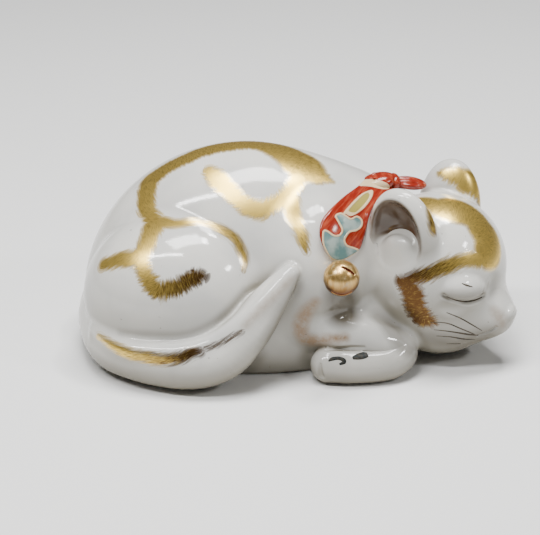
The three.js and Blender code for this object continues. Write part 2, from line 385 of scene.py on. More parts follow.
def meshed(field, lowest, highest, step, coarse=4):
    """Vertices on the field's surface and quads facing out; the fine grid is filled near it only."""
    lowest = np.array(lowest, float)
    block = step * coarse
    counts = np.ceil((np.array(highest) - lowest) / block).astype(int) + 1
    axes = [lowest[k] + np.arange(counts[k]) * block for k in range(3)]
    centres = np.stack(np.meshgrid(*axes, indexing="ij"), -1).reshape(-1, 3)
    rough = field(centres).reshape(counts)
    near = np.abs(rough) < block * 1.7
    fine, fill = rough, near
    for axis in range(3):
        fine = np.repeat(fine, coarse, axis)
        fill = np.repeat(fill, coarse, axis)
    corner = lowest - (coarse - 1) / 2 * step
    fine[fill] = field(corner + np.argwhere(fill) * step)
    grid = openvdb.FloatGrid(BAND * step)
    grid.copyFromArray(np.clip(fine, -BAND * step, BAND * step).astype(np.float32))
    points, quads = grid.convertToQuads(0.0)
    whole_shape = np.all((points > 1.5) & (points < np.array(fine.shape) - 2.5), axis=1)
    quads = quads[whole_shape[quads].all(1)]  # leaves out walls where the box cuts the shape
    points = points * step + corner
    for _ in range(2):  # slides each vertex onto the true surface
        slope = gradient(field, points)
        points = points - (field(points) / np.maximum((slope ** 2).sum(1), 0.25))[:, None] * slope
    return points, quads.astype(int)


def triangles_of(quads):
    return np.vstack([quads[:, [0, 1, 2]], quads[:, [0, 2, 3]]])


def clipped(points, faces, side):
    """The part of a triangle mesh where side is negative, cut exactly along side = 0."""
    inside = side < 0
    count = inside[faces].sum(1)
    added, index_of = [], {}

    def crossing(a, b):
        key = (min(a, b), max(a, b))
        if key not in index_of:
            share = side[key[0]] / (side[key[0]] - side[key[1]])
            index_of[key] = len(points) + len(added)
            added.append(points[key[0]] + share * (points[key[1]] - points[key[0]]))
        return index_of[key]

    cut = []
    for triangle in faces[(count == 1) | (count == 2)]:
        alone = inside[triangle].sum() == 1
        a, b, c = np.roll(triangle, -int(np.argmax(inside[triangle] == alone)))
        ab, ac = crossing(a, b), crossing(a, c)
        cut += [(a, ab, ac)] if alone else [(ab, b, c), (ab, c, ac)]
    faces = np.vstack([faces[count == 3], np.array(cut, int).reshape(-1, 3)])
    points = np.vstack([points, np.array(added).reshape(-1, 3)])
    used, faces = np.unique(faces, return_inverse=True)
    return points[used], faces.reshape(-1, 3)


def shelled(points, faces, normals, thickness):
    """Closes an open skin with an inner wall, thickness below each vertex, and a rim."""
    count = len(points)
    edges = np.vstack([faces[:, [0, 1]], faces[:, [1, 2]], faces[:, [2, 0]]])
    _, index, repeats = np.unique(np.sort(edges, axis=1), axis=0, return_index=True, return_counts=True)
    a, b = edges[index[repeats == 1]].T
    walls = np.vstack([np.stack([b, a, a + count], 1), np.stack([b, a + count, b + count], 1)])
    points = np.vstack([points, points - normals * thickness[:, None]])
    return points, np.vstack([faces, faces[:, ::-1] + count, walls]), np.vstack([normals, -normals])


def merged(parts):
    """Joins (points, faces, normals) parts; returns them with the part number of each face."""
    points, faces, normals = zip(*parts)
    starts = np.cumsum([0] + [len(part) for part in points])
    faces = [np.asarray(part) + start for part, start in zip(faces, starts)]
    numbers = np.repeat(np.arange(len(parts)), [len(part) for part in faces])
    return np.vstack(points), np.vstack(faces), np.vstack(normals), numbers


def added(name, data):
    """A new object in the scene."""
    holder = bpy.data.objects.new(name, data)
    bpy.context.scene.collection.objects.link(holder)
    return holder


def make_object(name, points, faces, normals, materials, face_materials=None):
    """A smooth object from potter's millimetres, its shading normals given for each vertex."""
    mesh = bpy.data.meshes.new(name)
    mesh.from_pydata(to_frame(points).tolist(), [], np.asarray(faces).tolist())
    mesh.polygons.foreach_set("use_smooth", np.ones(len(mesh.polygons), bool))
    for material in materials:
        mesh.materials.append(material)
    if face_materials is not None:
        mesh.polygons.foreach_set("material_index", face_materials.astype(np.int32))
    mesh.update()
    mesh.normals_split_custom_set_from_vertices(normals.tolist())
    return added(name, mesh)


def set_attribute(piece, name, values):
    """Stores a number or a vector for each vertex; any vertices left over get zeros."""
    """Stores a number or a 3-vector for each vertex; missing vertices at the end get zeros."""
    values = np.asarray(values, float)
    full = np.zeros((len(piece.data.vertices),) + values.shape[1:])
    full[:len(values)] = values
    kind, field = ("FLOAT_VECTOR", "vector") if values.ndim == 2 else ("FLOAT", "value")
    attribute = piece.data.attributes.new(name, kind, "POINT")
    attribute.data.foreach_set(field, full.astype(np.float32).ravel())


# -------- paint

def brush(path, tone, fray, hairs=90, painter=FRONT):
    """A gilt stroke of stations (x, height, width) with its tone at each end (0 bright, 1 brown gilt with
    painted shade).

    fray is how far its hairs stand out in millimetres, hairs their angle to the path in degrees.
    """
    return dict(path=path, tone=tone, fray=fray, hairs=hairs, painter=painter)


GILT = [
    brush([(-38.5, 28, 4.5), (-33, 32, 4), (-27, 35, 4), (-21, 37.5, 4.4), (-13, 39.2, 4.6),
        (-5, 39.6, 4.8), (1.5, 38.4, 6), (6.5, 36, 7), (10.5, 33, 8.3), (14.5, 30, 5.5),
        (20, 27.5, 0.6)], (0.3, 0.3), 0.5),
    brush([(-38.5, 28.5, 4), (-39.5, 24, 5.1), (-39.5, 20, 5.4), (-38.5, 17, 5.1), (-37, 14.5, 6),
        (-38, 11.5, 5.1), (-39.5, 8, 5.1), (-42, 3.5, 5.1), (-48, 2.5, 4.5), (-53.5, 1, 3)], (0.2, 0.2),
        0.8, hairs=25),
    brush([(-41.5, 3.5, 5.1), (-40.5, -1, 4.8), (-38.5, -4.5, 5.4), (-36.5, -7.2, 5.4), (-32.5, -7, 5.4),
        (-29, -6, 5.1), (-25, -3.5, 5.1), (-22, -2.5, 3.4)], (0.1, 0.9), 1.2, hairs=80),
    brush([(-35, 14.5, 3.8), (-30.5, 14, 2.6), (-25.5, 14.5, 2.2), (-22.5, 14.5, 1.3), (-18.5, 13.5, 1.9),
        (-14.5, 11.5, 2.9), (-11, 9, 2.9), (-9, 5.5, 2.9), (-8, 2, 1.9), (-8.5, -1, 0.6)], (0.2, 0.5),
        0.6, hairs=0),
    brush([(-19.5, 31, 3.2), (-17.5, 29, 5.8), (-14.5, 26, 5.8), (-11, 22.5, 5.1), (-7, 19.5, 5.8),
        (-3, 18.5, 6), (0.5, 20, 5), (4.5, 22, 5), (7.5, 25.5, 5), (9.5, 29.5, 5.8)], (-0.1, 0), 0.8,
        hairs=55),
    brush([(6.5, 21.5, 5.8), (7.5, 17, 4.8), (9.5, 12, 3.8), (10.5, 9, 3.8), (11.5, 5, 1.3)], (0, 0.4),
        0.8, hairs=15),
    brush([(-55, -22, 1), (-52, -24, 1.9), (-48, -26.5, 3.2), (-44, -28, 3.2), (-38.5, -29, 3.8),
        (-33.5, -29.5, 3.5), (-29, -29, 3.5), (-25.5, -27.5, 3.5), (-22.5, -27, 2.2)], (0.1, 1), 0.7,
        hairs=12),
    brush([(-22.5, -26.5, 0.5), (-18.5, -25.5, 1), (-15.5, -24, 1), (-12, -22, 1), (-9, -20.5, 0.6)],
        (1, 1), 0.9, hairs=5),
    brush([(48, 22, 1.3), (51, 21, 3.2), (54.5, 19.5, 5.1), (58, 19, 7), (62, 18, 7), (65.5, 16, 6.4),
        (68, 12.5, 7), (70.2, 9, 7.7), (70.2, 5, 7.7), (68.5, 3, 5.8), (64.5, 2.5, 4.5)], (0.3, 0.2),
        0.4),
    brush([(68.5, 3, 5.8), (64.5, 2.5, 4.5), (61, 2, 4.5), (57, 0.5, 5.1), (53, -1, 4.8),
        (49.5, -2.5, 4.8), (45.5, -4, 4.6), (43, -4.6, 4)], (0, 1.1), 0.9, hairs=12),
    brush([(55, 30.5, 2.2), (58, 29.6, 4.5), (61, 29, 6), (64, 27.5, 5.4), (66.4, 24.6, 3.2)], (0.2, 0.1),
        0.9),
    brush([(66.6, 25.5, 2), (67.2, 22, 2.2), (67.5, 19.5, 1)], (0.4, 0.5), 0.6),
    brush([(51, 18, 1.9), (52, 15, 2.2), (52.5, 12, 1.9), (53, 10.5, 0.6)], (0.4, 0.8), 0.6, hairs=20),
    brush([(42.5, -4.6, 4), (45.3, -8, 6.6), (46, -11, 6.8), (47, -14, 6.2), (49.5, -16.5, 5),
        (52, -17.4, 2.2)], (1, 0.9), 1),
    brush([(7, 22, 5), (12, 14, 6.5), (14.5, 5, 6), (15.5, -5, 5.5), (19, -12, 5), (23, -17, 3)],
        (0.3, 0.4), 0.8, painter=REAR),
    brush([(15.5, -5, 4), (9, -10, 5), (2, -14.5, 5), (-4, -17, 4), (-10, -18.5, 2.5)], (0.3, 0.8), 0.9,
        painter=REAR),
    brush([(44, 4, 3), (49, -5, 5.5), (51, -13, 5), (48, -20, 4), (43, -25, 2.5)], (0.2, 0.7), 0.9,
        painter=REAR),
    brush([(49.5, -6, 4.5), (41, -8, 4.5), (34, -12, 3)], (0.3, 0.5), 0.9, painter=REAR),
    brush([(-14, 13, 4), (-19, 5, 6), (-20.5, -3, 6), (-18.5, -10, 5), (-16.5, -16, 3)], (0.3, 0.6), 0.9,
        painter=REAR),
    brush([(-53, 5, 4), (-57, -0.5, 6), (-61, -5, 6), (-65, -8, 4)], (0.4, 0.9), 0.9, painter=REAR),
]
# Places rubbed brown or peach: stations (x, height, width) and how strong
RUBBED = [
    dict(path=[(14.5, -11, 3), (11.5, -14.5, 4.5), (9.8, -19, 5.4), (11.5, -22.8, 4.2),
        (16.5, -23.2, 3.4), (24, -22.5, 3)], strength=1),
    dict(path=[(-8, -18.5, 2.6), (-2.5, -13, 3.2), (1.5, -9, 3.2), (6.5, -4, 2.6)], strength=0.45),
    dict(path=[(71.5, -13.5, 2.5), (73.5, -16, 4.5), (74.5, -18, 3)], strength=0.5),
]
# Painted shade in creases and under the eyelid, the bell and the chin: stations (x, height, width) and how
# strong
SHADE_STROKES = [
    dict(path=[(55, -9, 2), (59.3, -9.7, 3.4), (62.6, -10.2, 3.6), (65.6, -9.7, 3.2), (68.5, -8.2, 3),
        (71.5, -6, 3)], strength=0.42),
    dict(path=[(-48, -20.5, 2), (-38, -21.2, 2.5), (-27, -21.2, 2.5), (-19, -17.8, 2.5), (-13, -13, 2.5),
        (-8, -7.5, 2)], strength=0.35),
    dict(path=[(20, -4, 4), (22, -8, 9), (23.5, -12, 10), (23.5, -15, 8)], strength=1),
    dict(path=[(34.5, -16, 4), (39, -20, 5), (42.5, -25, 5), (46, -27, 4)], strength=0.5),
    dict(path=[(-7, -33, 3), (-3.5, -28, 3.5), (0.5, -21, 4), (4, -14, 3.5), (8.5, -6, 3)],
        strength=0.45),
    dict(path=[(49, -21.5, 3), (56, -23, 5), (63, -23.3, 5), (70, -21, 3.5)], strength=0.5),
]


LEAST_SPREAD, MOST_SPREAD = 0.95, 1.9  # limits of a slanting stroke's width against its look
NO_GILT = -9.0  # the depth inside a stroke where there is none
FRAY_ROOM = 3.0  # how far beyond a stroke its hairs may reach


def seat_stroke(stroke):
    """Throws a stroke onto the clay; where the clay slants away, it is wider than it looks."""
    painter = stroke.get("painter", FRONT)
    rows = spline(stroke["path"], 5)
    stroke["line"] = painter.onto(whole, rows)
    ahead = np.gradient(rows[:, :2], axis=0)
    across = np.stack([-ahead[:, 1], ahead[:, 0]], axis=1) / norm(ahead, axis=1, keepdims=True)
    half = rows[:, 2] / 2
    stroke["radii"] = np.zeros(len(rows))
    for side in (-1, 1):
        edge = painter.onto(whole, rows[:, :2] + side * half[:, None] * across)
        reach = norm(edge - stroke["line"], axis=1)
        stroke["radii"] += np.clip(reach, LEAST_SPREAD * half, MOST_SPREAD * half) / 2


for stroke in GILT + RUBBED + SHADE_STROKES:
    seat_stroke(stroke)


def along_stroke(points, normals, stroke):
    """Rows: depth inside a stroke, distance along it, signed distance across it, share of it."""
    line, radii = stroke["line"], stroke["radii"]
    result = np.zeros((4, len(points)))
    result[0] = NO_GILT
    margin = radii.max() + FRAY_ROOM
    near = np.all((points > line.min(0) - margin) & (points < line.max(0) + margin), axis=1)
    spots, facing = points[near], normals[near]
    best = result[:, near]
    lengths = np.concatenate([[0], np.cumsum(norm(np.diff(line, axis=0), axis=1))])
    for i, (a, b) in enumerate(zip(line[:-1], line[1:])):
        axis = b - a
        offset = spots - a
        t = np.clip(offset @ axis / max(axis @ axis, 1e-9), 0, 1)
        offset = offset - t[:, None] * axis
        distance = norm(offset, axis=1)
        inside = radii[i] + t * (radii[i + 1] - radii[i]) - distance
        turn = np.sign(np.einsum("ij,ij->i", np.cross(axis, offset), facing))
        closer = inside > best[0]
        row = np.stack([inside, lengths[i] + t * (lengths[i + 1] - lengths[i]), turn * distance,
                        (i + t) / (len(line) - 1)])
        best[:, closer] = row[:, closer]
    result[:, near] = best
    return result


def gilt_attributes(points, normals):
    """(depth, place across the hairs, place along them) and (tone, fray, 0) for each vertex."""
    where = np.zeros((len(points), 3))
    where[:, 0] = NO_GILT
    style = np.zeros((len(points), 3))
    for stroke in GILT:
        depth, along, across, share = along_stroke(points, normals, stroke)
        lay = math.radians(stroke["hairs"])
        closer = depth > where[:, 0]
        mix = np.stack([depth, along * math.sin(lay) - across * math.cos(lay),
                        along * math.cos(lay) + across * math.sin(lay)], axis=1)
        where[closer] = mix[closer]
        start, end = stroke["tone"]
        style[closer, 0] = (start + (end - start) * share)[closer]
        style[closer, 1] = stroke["fray"]
    return where, style


def soft_strokes(points, normals, strokes):
    """How strongly soft strokes cover each vertex."""
    cover = np.zeros(len(points))
    for stroke in strokes:
        depth = along_stroke(points, normals, stroke)[0]
        softness = 0.5 * stroke["radii"].max() + 1
        cover = np.maximum(cover, stroke["strength"] * np.clip(0.4 + depth / softness, 0, 1))
    return cover


ENAMEL_LIFT = 0.07
# Thin raised enamel lines of the eye and the whiskers: stations (x, height, width)
FACE_LINES = [
    [(56.5, -9.3, 0.3), (59.3, -10.4, 0.6), (62.6, -10.9, 0.8), (65.6, -10.4, 0.7), (67.8, -9.5, 0.4)],
    [(61.4, -5.1, 0.3), (62.9, -5.7, 0.6), (64.8, -6.2, 0.3)],
    [(56.5, -14.4, 0.25), (60.9, -16.2, 0.5), (64.8, -18.4, 0.5), (67.8, -20.2, 0.3)],
    [(51, -17.5, 0.25), (56.5, -17.8, 0.45), (60.9, -19.5, 0.5), (66.2, -21.7, 0.5)],
    [(52.4, -19.9, 0.25), (57.1, -20.4, 0.5), (63.4, -21.4, 0.8), (66.5, -21.7, 0.6)],
    [(53.2, -21.9, 0.25), (57.9, -22.2, 0.5), (62, -22.9, 0.7), (65.6, -23, 0.4)],
    [(56.5, -24.4, 0.25), (60.9, -24.4, 0.45)],
]
# The two marks on the right paw, laid the same way
PAW_MARKS = [
    [(18.7, -30, 0.5), (19.8, -29.3, 1.2), (21.8, -29, 1.2), (23.4, -29.5, 1.3), (23.8, -30.3, 1.2),
        (22.2, -31, 0.7)],
    [(26.4, -29, 1), (28.3, -28.5, 2.2), (30.3, -28, 2.4), (31.2, -27.7, 1.6)],
]


def enamel_line(path):
    """A closed strip with a lens section, pressed a little into the clay."""
    rows = spline(path, 6)
    middle = FRONT.onto(whole, rows)
    out = normals_of(whole, middle)
    along = np.gradient(middle, axis=0)
    across = np.cross(out, along)
    across /= np.maximum(norm(across, axis=1, keepdims=True), 1e-9)
    section = [(-0.5, -0.02), (-0.28, 0.75 * ENAMEL_LIFT), (0, ENAMEL_LIFT), (0.28, 0.75 * ENAMEL_LIFT),
               (0.5, -0.02), (0, -0.3)]  # (share of the width, rise)
    points, facing = [], []
    for side, rise in section:
        points.append(middle + side * rows[:, 2:3] * across + rise * out)
        facing.append(out * (1 if rise > -0.1 else -1) + 0.8 * side * across)
    count, ring = len(rows), len(section)
    points = np.stack(points, axis=1).reshape(-1, 3)
    facing = np.stack(facing, axis=1).reshape(-1, 3)
    faces = []
    for i in range(count - 1):
        for k in range(ring):
            a, b = i * ring + k, i * ring + (k + 1) % ring
            faces += [(a, a + ring, b), (b, a + ring, b + ring)]
    last = (count - 1) * ring
    for k in range(1, ring - 1):
        faces += [(0, k, k + 1), (last, last + k + 1, last + k)]
    faces = np.array(faces)
    a, b, c = points[faces[0]]
    if np.dot(np.cross(b - a, c - a), out[0] - across[0]) < 0:
        faces = faces[:, ::-1]
    return points, faces, facing / norm(facing, axis=1, keepdims=True)


# -------- materials

class Nodes:
    """A short way to write a material's node tree."""

    def __init__(self, name):
        self.material = bpy.data.materials.new(name)
        self.material.use_nodes = True
        self.tree = self.material.node_tree
        self.shader = self.tree.nodes["Principled BSDF"]
        self.place = self.put("ShaderNodeTexCoord").outputs["Object"]

    def put(self, kind, inputs=None, **settings):
        node = self.tree.nodes.new(kind)
        for key, value in settings.items():
            setattr(node, key, value)
        for key, value in (inputs or {}).items():
            self.feed(node.inputs[key], value)
        return node

    def feed(self, socket, value):
        if isinstance(value, bpy.types.NodeSocket):
            self.tree.links.new(value, socket)
        elif isinstance(value, bpy.types.Node):
            self.tree.links.new(value.outputs[0], socket)
        else:
            socket.default_value = value

    def attribute(self, name, output="Fac"):
        return self.put("ShaderNodeAttribute", attribute_name=name).outputs[output]

    def parts(self, name):
        return self.put("ShaderNodeSeparateXYZ", {"Vector": self.attribute(name, "Vector")}).outputs

    def math(self, operation, *values):
        node = self.put("ShaderNodeMath", operation=operation)
        for socket, value in zip(node.inputs, values):
            self.feed(socket, value)
        return node.outputs[0]

    def times(self, a, b):
        return self.math("MULTIPLY", a, b)

    def ramp(self, value, low, high):
        """0 at low, 1 at high, smooth between."""
        node = self.put("ShaderNodeMapRange", {"Value": value, "From Min": low, "From Max": high},
                        interpolation_type="SMOOTHSTEP")
        return node.outputs["Result"]

    def underside(self):
        """0 where the surface faces up, 1 where it faces down."""
        normal = self.put("ShaderNodeNewGeometry").outputs["Normal"]
        upward = self.put("ShaderNodeSeparateXYZ", {"Vector": normal}).outputs[2]
        return self.ramp(upward, 0.45, -0.5)

    def mix(self, share, a, b):
        node = self.put("ShaderNodeMix", data_type="RGBA")
        self.feed(node.inputs["Factor"], share)
        for socket, value in ((node.inputs[6], a), (node.inputs[7], b)):
            self.feed(socket, (*value, 1.0) if isinstance(value, tuple) else value)
        return node.outputs[2]

    def noise(self, vector, scale, detail=3.0, roughness=0.55):
        node = self.put("ShaderNodeTexNoise", {"Vector": vector, "Scale": scale, "Detail": detail,
                                               "Roughness": roughness})
        return node.outputs["Fac"]

    def bump(self, height, distance, strength=1.0, under=None):
        node = self.put("ShaderNodeBump", {"Height": height, "Strength": strength, "Distance": distance})
        if under is not None:
            self.feed(node.inputs["Normal"], under)
        return node.outputs[0]

    def set(self, **inputs):
        for key, value in inputs.items():
            self.feed(self.shader.inputs[key.replace("_", " ")], value)
        return self.material


PORCELAIN = (0.66, 0.645, 0.60)
PORCELAIN_GREY = (0.56, 0.555, 0.53)
PAINTED_SHADE = (0.22, 0.20, 0.155)
GOLD_BRIGHT = (0.90, 0.63, 0.15)
GOLD_BROWN_SHADE = (0.085, 0.038, 0.010)
PEACH = (0.25, 0.155, 0.08)
EAR_BROWN_AND_SHADE = (0.085, 0.052, 0.03)
STROKE_SHADE_COLOUR = (0.12, 0.105, 0.08)
SPECK = (0.10, 0.08, 0.06)


def porcelain():
    """Glazed white clay with painted shade in its creases, under it, towards its foot and along shaded
    strokes, with rubbed spots and brushed gilt.
    """
    nodes = Nodes("glazed_porcelain")
    cloud = nodes.noise(nodes.place, 45, 3)
    base = nodes.mix(nodes.ramp(cloud, 0.35, 0.7), PORCELAIN, PORCELAIN_GREY)
    # painted shade in creases and recesses, where nearby clay crowds the room above the surface
    crease_shade = nodes.attribute("crease_shade")
    base = nodes.mix(nodes.ramp(crease_shade, 0.12, 1.1), base, PAINTED_SHADE)
    # painted shade where the surface faces down
    base = nodes.mix(nodes.times(nodes.underside(), 0.95), base, PAINTED_SHADE)
    # painted shade, darker towards the foot
    height = nodes.put("ShaderNodeSeparateXYZ", {"Vector": nodes.place}).outputs[2]
    foot = nodes.ramp(nodes.math("SUBTRACT", height, nodes.times(cloud, 0.012)), 0.012, -0.006)
    base = nodes.mix(nodes.times(foot, 0.6), base, PAINTED_SHADE)
    # painted shade along the shaded strokes
    shade_cover = nodes.times(nodes.attribute("stroke_shade"), nodes.ramp(cloud, 0.0, 0.6))
    base = nodes.mix(shade_cover, base, STROKE_SHADE_COLOUR)
    # brown wash with painted shade in the ear's cup
    patchy = nodes.times(nodes.math("SUBTRACT", cloud, 0.5), 0.25)
    cup = nodes.math("ADD", nodes.attribute("cup"), patchy)
    base = nodes.mix(nodes.ramp(cup, 0.0, 1.0), base, EAR_BROWN_AND_SHADE)
    grit = nodes.noise(nodes.place, 420, 5, 0.7)
    rub = nodes.times(nodes.attribute("rubbed"), nodes.ramp(grit, 0.05, 0.65))
    base = nodes.mix(rub, base, PEACH)
    specks = nodes.ramp(nodes.noise(nodes.place, 700, 2, 0.5), 0.74, 0.80)
    base = nodes.mix(nodes.times(specks, 0.6), base, SPECK)
    depth, across, along = nodes.parts("gilt")
    tone, fray, _ = nodes.parts("gilt_style")
    strands = nodes.put("ShaderNodeCombineXYZ", {"X": nodes.times(across, 1.5),
                                                 "Y": nodes.times(along, 0.16)})
    hair = nodes.noise(strands, 1.0, 4, 0.6)
    reach = nodes.times(nodes.math("SUBTRACT", hair, 0.5), nodes.times(fray, 5.0))
    cover = nodes.math("ADD", depth, reach)
    mask = nodes.math("ADD", nodes.times(nodes.ramp(cover, -1.0, 0.1), 0.55),
                      nodes.times(nodes.ramp(cover, -0.3, 1.1), 0.45))
    fine = nodes.noise(strands, 3.0, 3, 0.6)
    # tone 1 is brown gilt with painted shade where the gilt turns down
    shade = nodes.math("ADD", tone, nodes.times(nodes.math("SUBTRACT", fine, 0.48), 1.5))
    gold = nodes.mix(nodes.ramp(shade, 0.0, 1.0), GOLD_BRIGHT, GOLD_BROWN_SHADE)
    colour = nodes.mix(mask, base, gold)
    metal = nodes.times(mask, 0.85)
    roughness = nodes.math("ADD", 0.1, nodes.times(mask, 0.22))
    orange_peel = nodes.bump(nodes.noise(nodes.place, 260, 2), 0.00004, 0.5)
    lift = nodes.times(mask, nodes.math("ADD", 0.6, nodes.times(fine, 0.8)))
    return nodes.set(Base_Color=colour, Metallic=metal, Roughness=roughness, IOR=1.52,
                     Normal=nodes.bump(lift, 0.00006, 0.35, orange_peel))


BROWN_BLACK = (0.03, 0.024, 0.015)
BROWN_BLACK_THIN = (0.08, 0.06, 0.04)
BLUE_BLACK = (0.008, 0.012, 0.013)
BLUE_BLACK_THIN = (0.035, 0.03, 0.02)


def dark_enamel(name, scale, colour, thin_colour, specular):
    nodes = Nodes(name)
    thin = nodes.ramp(nodes.noise(nodes.place, scale, 3), 0.35, 0.7)
    return nodes.set(Base_Color=nodes.mix(thin, colour, thin_colour), Roughness=0.5,
                     Specular_IOR_Level=specular)


RED = (0.22, 0.014, 0.006)
RED_THIN = (0.38, 0.070, 0.032)
CREAM = (0.66, 0.50, 0.30)
BLUE = (0.10, 0.19, 0.185)
BLUE_PALE = (0.30, 0.37, 0.34)
OLIVE_GOLD = (0.33, 0.27, 0.07)


def neckerchief_enamel():
    """Red enamel with a pale blue leaf, an olive panel and cream outlines."""
    nodes = Nodes("neckerchief_enamels")
    leaf, frame_edge, panel = nodes.parts("motif")
    wash = nodes.noise(nodes.place, 160, 3)
    streak = nodes.noise(nodes.attribute("weave", "Vector"), 1.0, 4, 0.65)
    colour = nodes.mix(nodes.ramp(streak, 0.42, 0.72), RED, RED_THIN)
    blue = nodes.mix(nodes.ramp(wash, 0.38, 0.62), BLUE, BLUE_PALE)
    colour = nodes.mix(nodes.ramp(leaf, 0.15, -0.1), colour, blue)
    edge = nodes.ramp(nodes.math("ABSOLUTE", leaf), 0.38, 0.18)
    colour = nodes.mix(edge, colour, CREAM)
    cream = nodes.ramp(frame_edge, 0.12, -0.12)
    colour = nodes.mix(cream, colour, CREAM)
    inside = nodes.ramp(panel, 0.12, -0.12)
    colour = nodes.mix(inside, colour, OLIVE_GOLD)
    lift = nodes.math("MAXIMUM", edge, nodes.math("SUBTRACT", cream, inside))
    bump = nodes.bump(lift, 0.00016, 0.9, nodes.bump(streak, 0.00003, 0.4))
    return nodes.set(Base_Color=colour, Roughness=0.16, Normal=bump)


BELL_GOLD = (0.90, 0.62, 0.24)
BELL_BRUSHED = (0.50, 0.28, 0.08)
BELL_WORN = (0.62, 0.52, 0.36)
BELL_SHADED = (0.12, 0.05, 0.014)
BELL_GROOVE_SHADE = (0.10, 0.02, 0.01)


def bell_gilt():
    nodes = Nodes("brushed_bell_gilt")
    brush = nodes.put("ShaderNodeMapping", {"Vector": nodes.place, "Scale": (900.0, 900.0, 130.0)})
    streak = nodes.noise(brush, 1.0, 4, 0.65)
    wear = nodes.ramp(nodes.noise(nodes.place, 500, 4, 0.6), 0.52, 0.72)
    colour = nodes.mix(nodes.ramp(streak, 0.3, 0.75), BELL_GOLD, BELL_BRUSHED)
    colour = nodes.mix(nodes.times(wear, 0.6), colour, BELL_WORN)
    colour = nodes.mix(nodes.underside(), colour, BELL_SHADED)
    # painted shade in the carved grooves
    colour = nodes.mix(nodes.ramp(nodes.attribute("groove"), 0.1, 0.9), colour, BELL_GROOVE_SHADE)
    metal = nodes.math("SUBTRACT", 0.9, nodes.times(wear, 0.5))
    return nodes.set(Base_Color=colour, Metallic=metal, Roughness=0.3,
                     Normal=nodes.bump(streak, 0.00008, 0.5))


BISQUE = (0.62, 0.54, 0.42)
BISQUE_GRAIN = (0.52, 0.44, 0.33)
BISQUE_STAIN = (0.32, 0.25, 0.17)


def bisque():
    nodes = Nodes("unglazed_clay")
    grain = nodes.noise(nodes.place, 1400, 4, 0.7)
    stain = nodes.ramp(nodes.noise(nodes.place, 70, 3), 0.45, 0.75)
    colour = nodes.mix(nodes.ramp(grain, 0.3, 0.7), BISQUE, BISQUE_GRAIN)
    colour = nodes.mix(nodes.times(stain, 0.5), colour, BISQUE_STAIN)
    return nodes.set(Base_Color=colour, Roughness=0.85, Normal=nodes.bump(grain, 0.0001, 0.6))


def floor_paper():
    nodes = Nodes("floor_paper")
    return nodes.set(Base_Color=(0.84, 0.84, 0.83, 1), Roughness=0.9)


# -------- pieces

def claim(piece, node):
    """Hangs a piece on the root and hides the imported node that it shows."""
    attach(piece, "root")
    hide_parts(node)


def clay_bounds(node, margin):
    """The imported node's box and a margin, in potter's millimetres."""
    lowest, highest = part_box(node)
    return (np.array(lowest) - SHIFT) / MM - margin, (np.array(highest) - SHIFT) / MM + margin


def field_piece(node, ending, field, margin, step, material):
    """A piece that shows all of a field's surface, and its vertices."""
    points, quads = meshed(field, *clay_bounds(node, margin), step)
    piece = make_object(node + ending, points, triangles_of(quads), normals_of(field, points), [material])
    claim(piece, node)
    return piece, points


SLAB_EDGE = 0.4  # the body's skin ends this high above the table
SKIN_MARGIN = 4.5  # room around a node's box for its skin
SKIN_THIN, SKIN_THICK = 0.3, 1.6  # limits of a skin's thickness
WALL_PROBE = 2.0  # how deep below the surface the clay is felt
HOLLOW_NEAR, HOLLOW_FAR = 1.5, 5.0  # how far above the surface other clay is felt


def skin_side(name, points):
    """Negative where the finished clay belongs to the named node."""
    distances = {key: field(points) for key, field in CLAY.items()}
    own = distances.pop(name)
    side = own - np.min(list(distances.values()), axis=0)
    if name == "body_shell":  # open below, where the slab closes it
        side = np.maximum(side, SLAB_EDGE - points[:, 2])
    return side


def shut_in(points, normals, reach):
    """How much of the room above each vertex nearby clay takes up."""
    return (reach - whole(points + normals * reach)) / reach


def clay_skin(name, step, material, lines=(), line_material=None):
    """A node's part of the finished clay as a closed skin, with any enamel lines on it."""
    points, quads = meshed(whole, *clay_bounds(name, SKIN_MARGIN), step)
    points, faces = clipped(points, triangles_of(quads), skin_side(name, points))
    normals = normals_of(whole, points)
    thickness = np.clip(-0.8 * whole(points - normals * WALL_PROBE), SKIN_THIN, SKIN_THICK)
    skin = shelled(points, faces, normals, thickness)
    *solid, numbers = merged([skin] + [enamel_line(path) for path in lines])
    materials = [material] + ([line_material] if line_material else [])
    piece = make_object(name + "_skin", *solid, materials, np.minimum(numbers, 1))
    # how shut in each vertex is, for the painted shade in creases
    set_attribute(piece, "crease_shade", np.maximum(shut_in(points, normals, HOLLOW_NEAR),
                                              0.8 * shut_in(points, normals, HOLLOW_FAR)))
    gilt, style = gilt_attributes(points, normals)
    inner = len(solid[0]) - len(points)
    set_attribute(piece, "gilt", np.vstack([gilt, np.tile([NO_GILT, 0, 0], (inner, 1))]))
    set_attribute(piece, "gilt_style", style)
    set_attribute(piece, "rubbed", soft_strokes(points, normals, RUBBED))
    # cover of the painted shade strokes
    set_attribute(piece, "stroke_shade", soft_strokes(points, normals, SHADE_STROKES))
    if "ear" in name:
        set_attribute(piece, "cup", cup_attribute(points, -1 if name == "right_ear" else 1))
    claim(piece, name)


CUP_SHADE = np.array([-2.0, 6.0])  # the brownest place, forward and up from the ear's base
CUP_SHADE_REACH = np.array([9.0, 10.0])


def cup_attribute(points, side):
    """How brown the ear's cup is, a brown wash with painted shade of its depth: most at its upper rear, 0
    outside it.
    """
    base, _, turn = ear_place(side)
    local = (points - base) @ turn
    wall = np.abs(ear_cup(points, side))
    offset = (local[:, [0, 2]] - CUP_SHADE) / CUP_SHADE_REACH
    upper_rear = np.clip(1.3 - norm(offset, axis=1), 0, 1)
    shade = np.maximum(1.5 * upper_rear, 0.6)
    return np.clip(1.6 - wall / 0.8, 0, 1) * np.clip((local[:, 2] + 5) / 6, 0, 1) * shade


